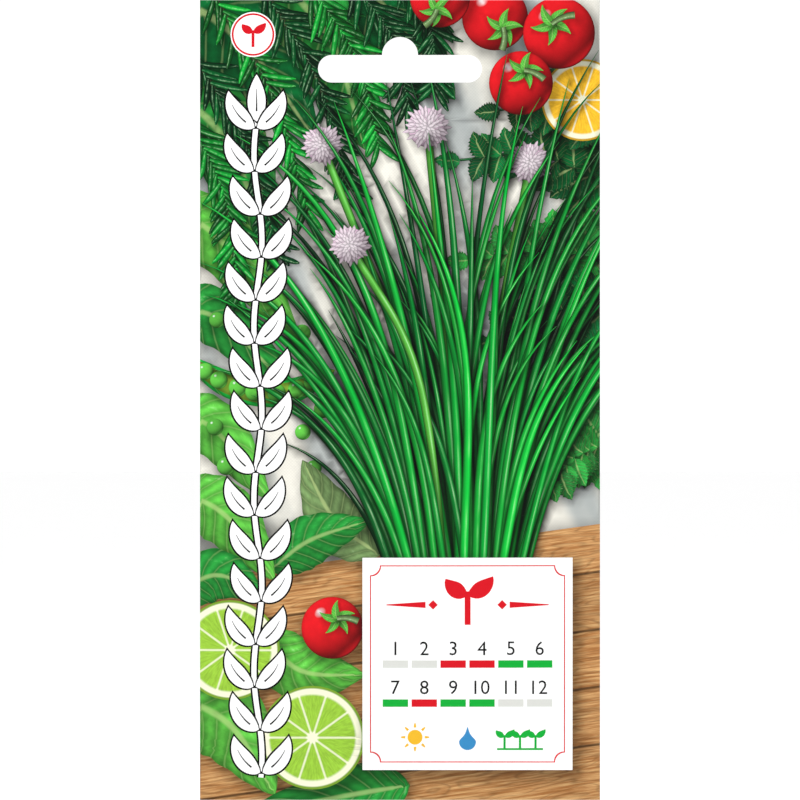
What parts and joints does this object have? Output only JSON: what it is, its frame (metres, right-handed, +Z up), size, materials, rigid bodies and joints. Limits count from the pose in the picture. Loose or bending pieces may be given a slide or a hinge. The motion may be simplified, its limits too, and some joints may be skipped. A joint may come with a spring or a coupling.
{
  "type": "seed packet",
  "caption": "Flat seed packet of coated paper with a slotted header to hang it by, a lap seam down its back, sealed ends and small seeds inside.",
  "frame": {"origin": "highest point of the display slot, on the packet's middle plane, where a shop peg carries it", "axes": "+Z up along the packet's height, -Y out of the printed front, +X to the right as seen from the front"},
  "size_m": [0.08, 0.0054, 0.16],
  "materials": {
    "coated_paper": "gloss-coated printed paper, bare white inside",
    "seed_coat": "dull, finely wrinkled dark seed coat"
  },
  "bodies": {
    "root": {"packet": "coated_paper", "seeds": "seed_coat"}
  },
  "joints": []
}
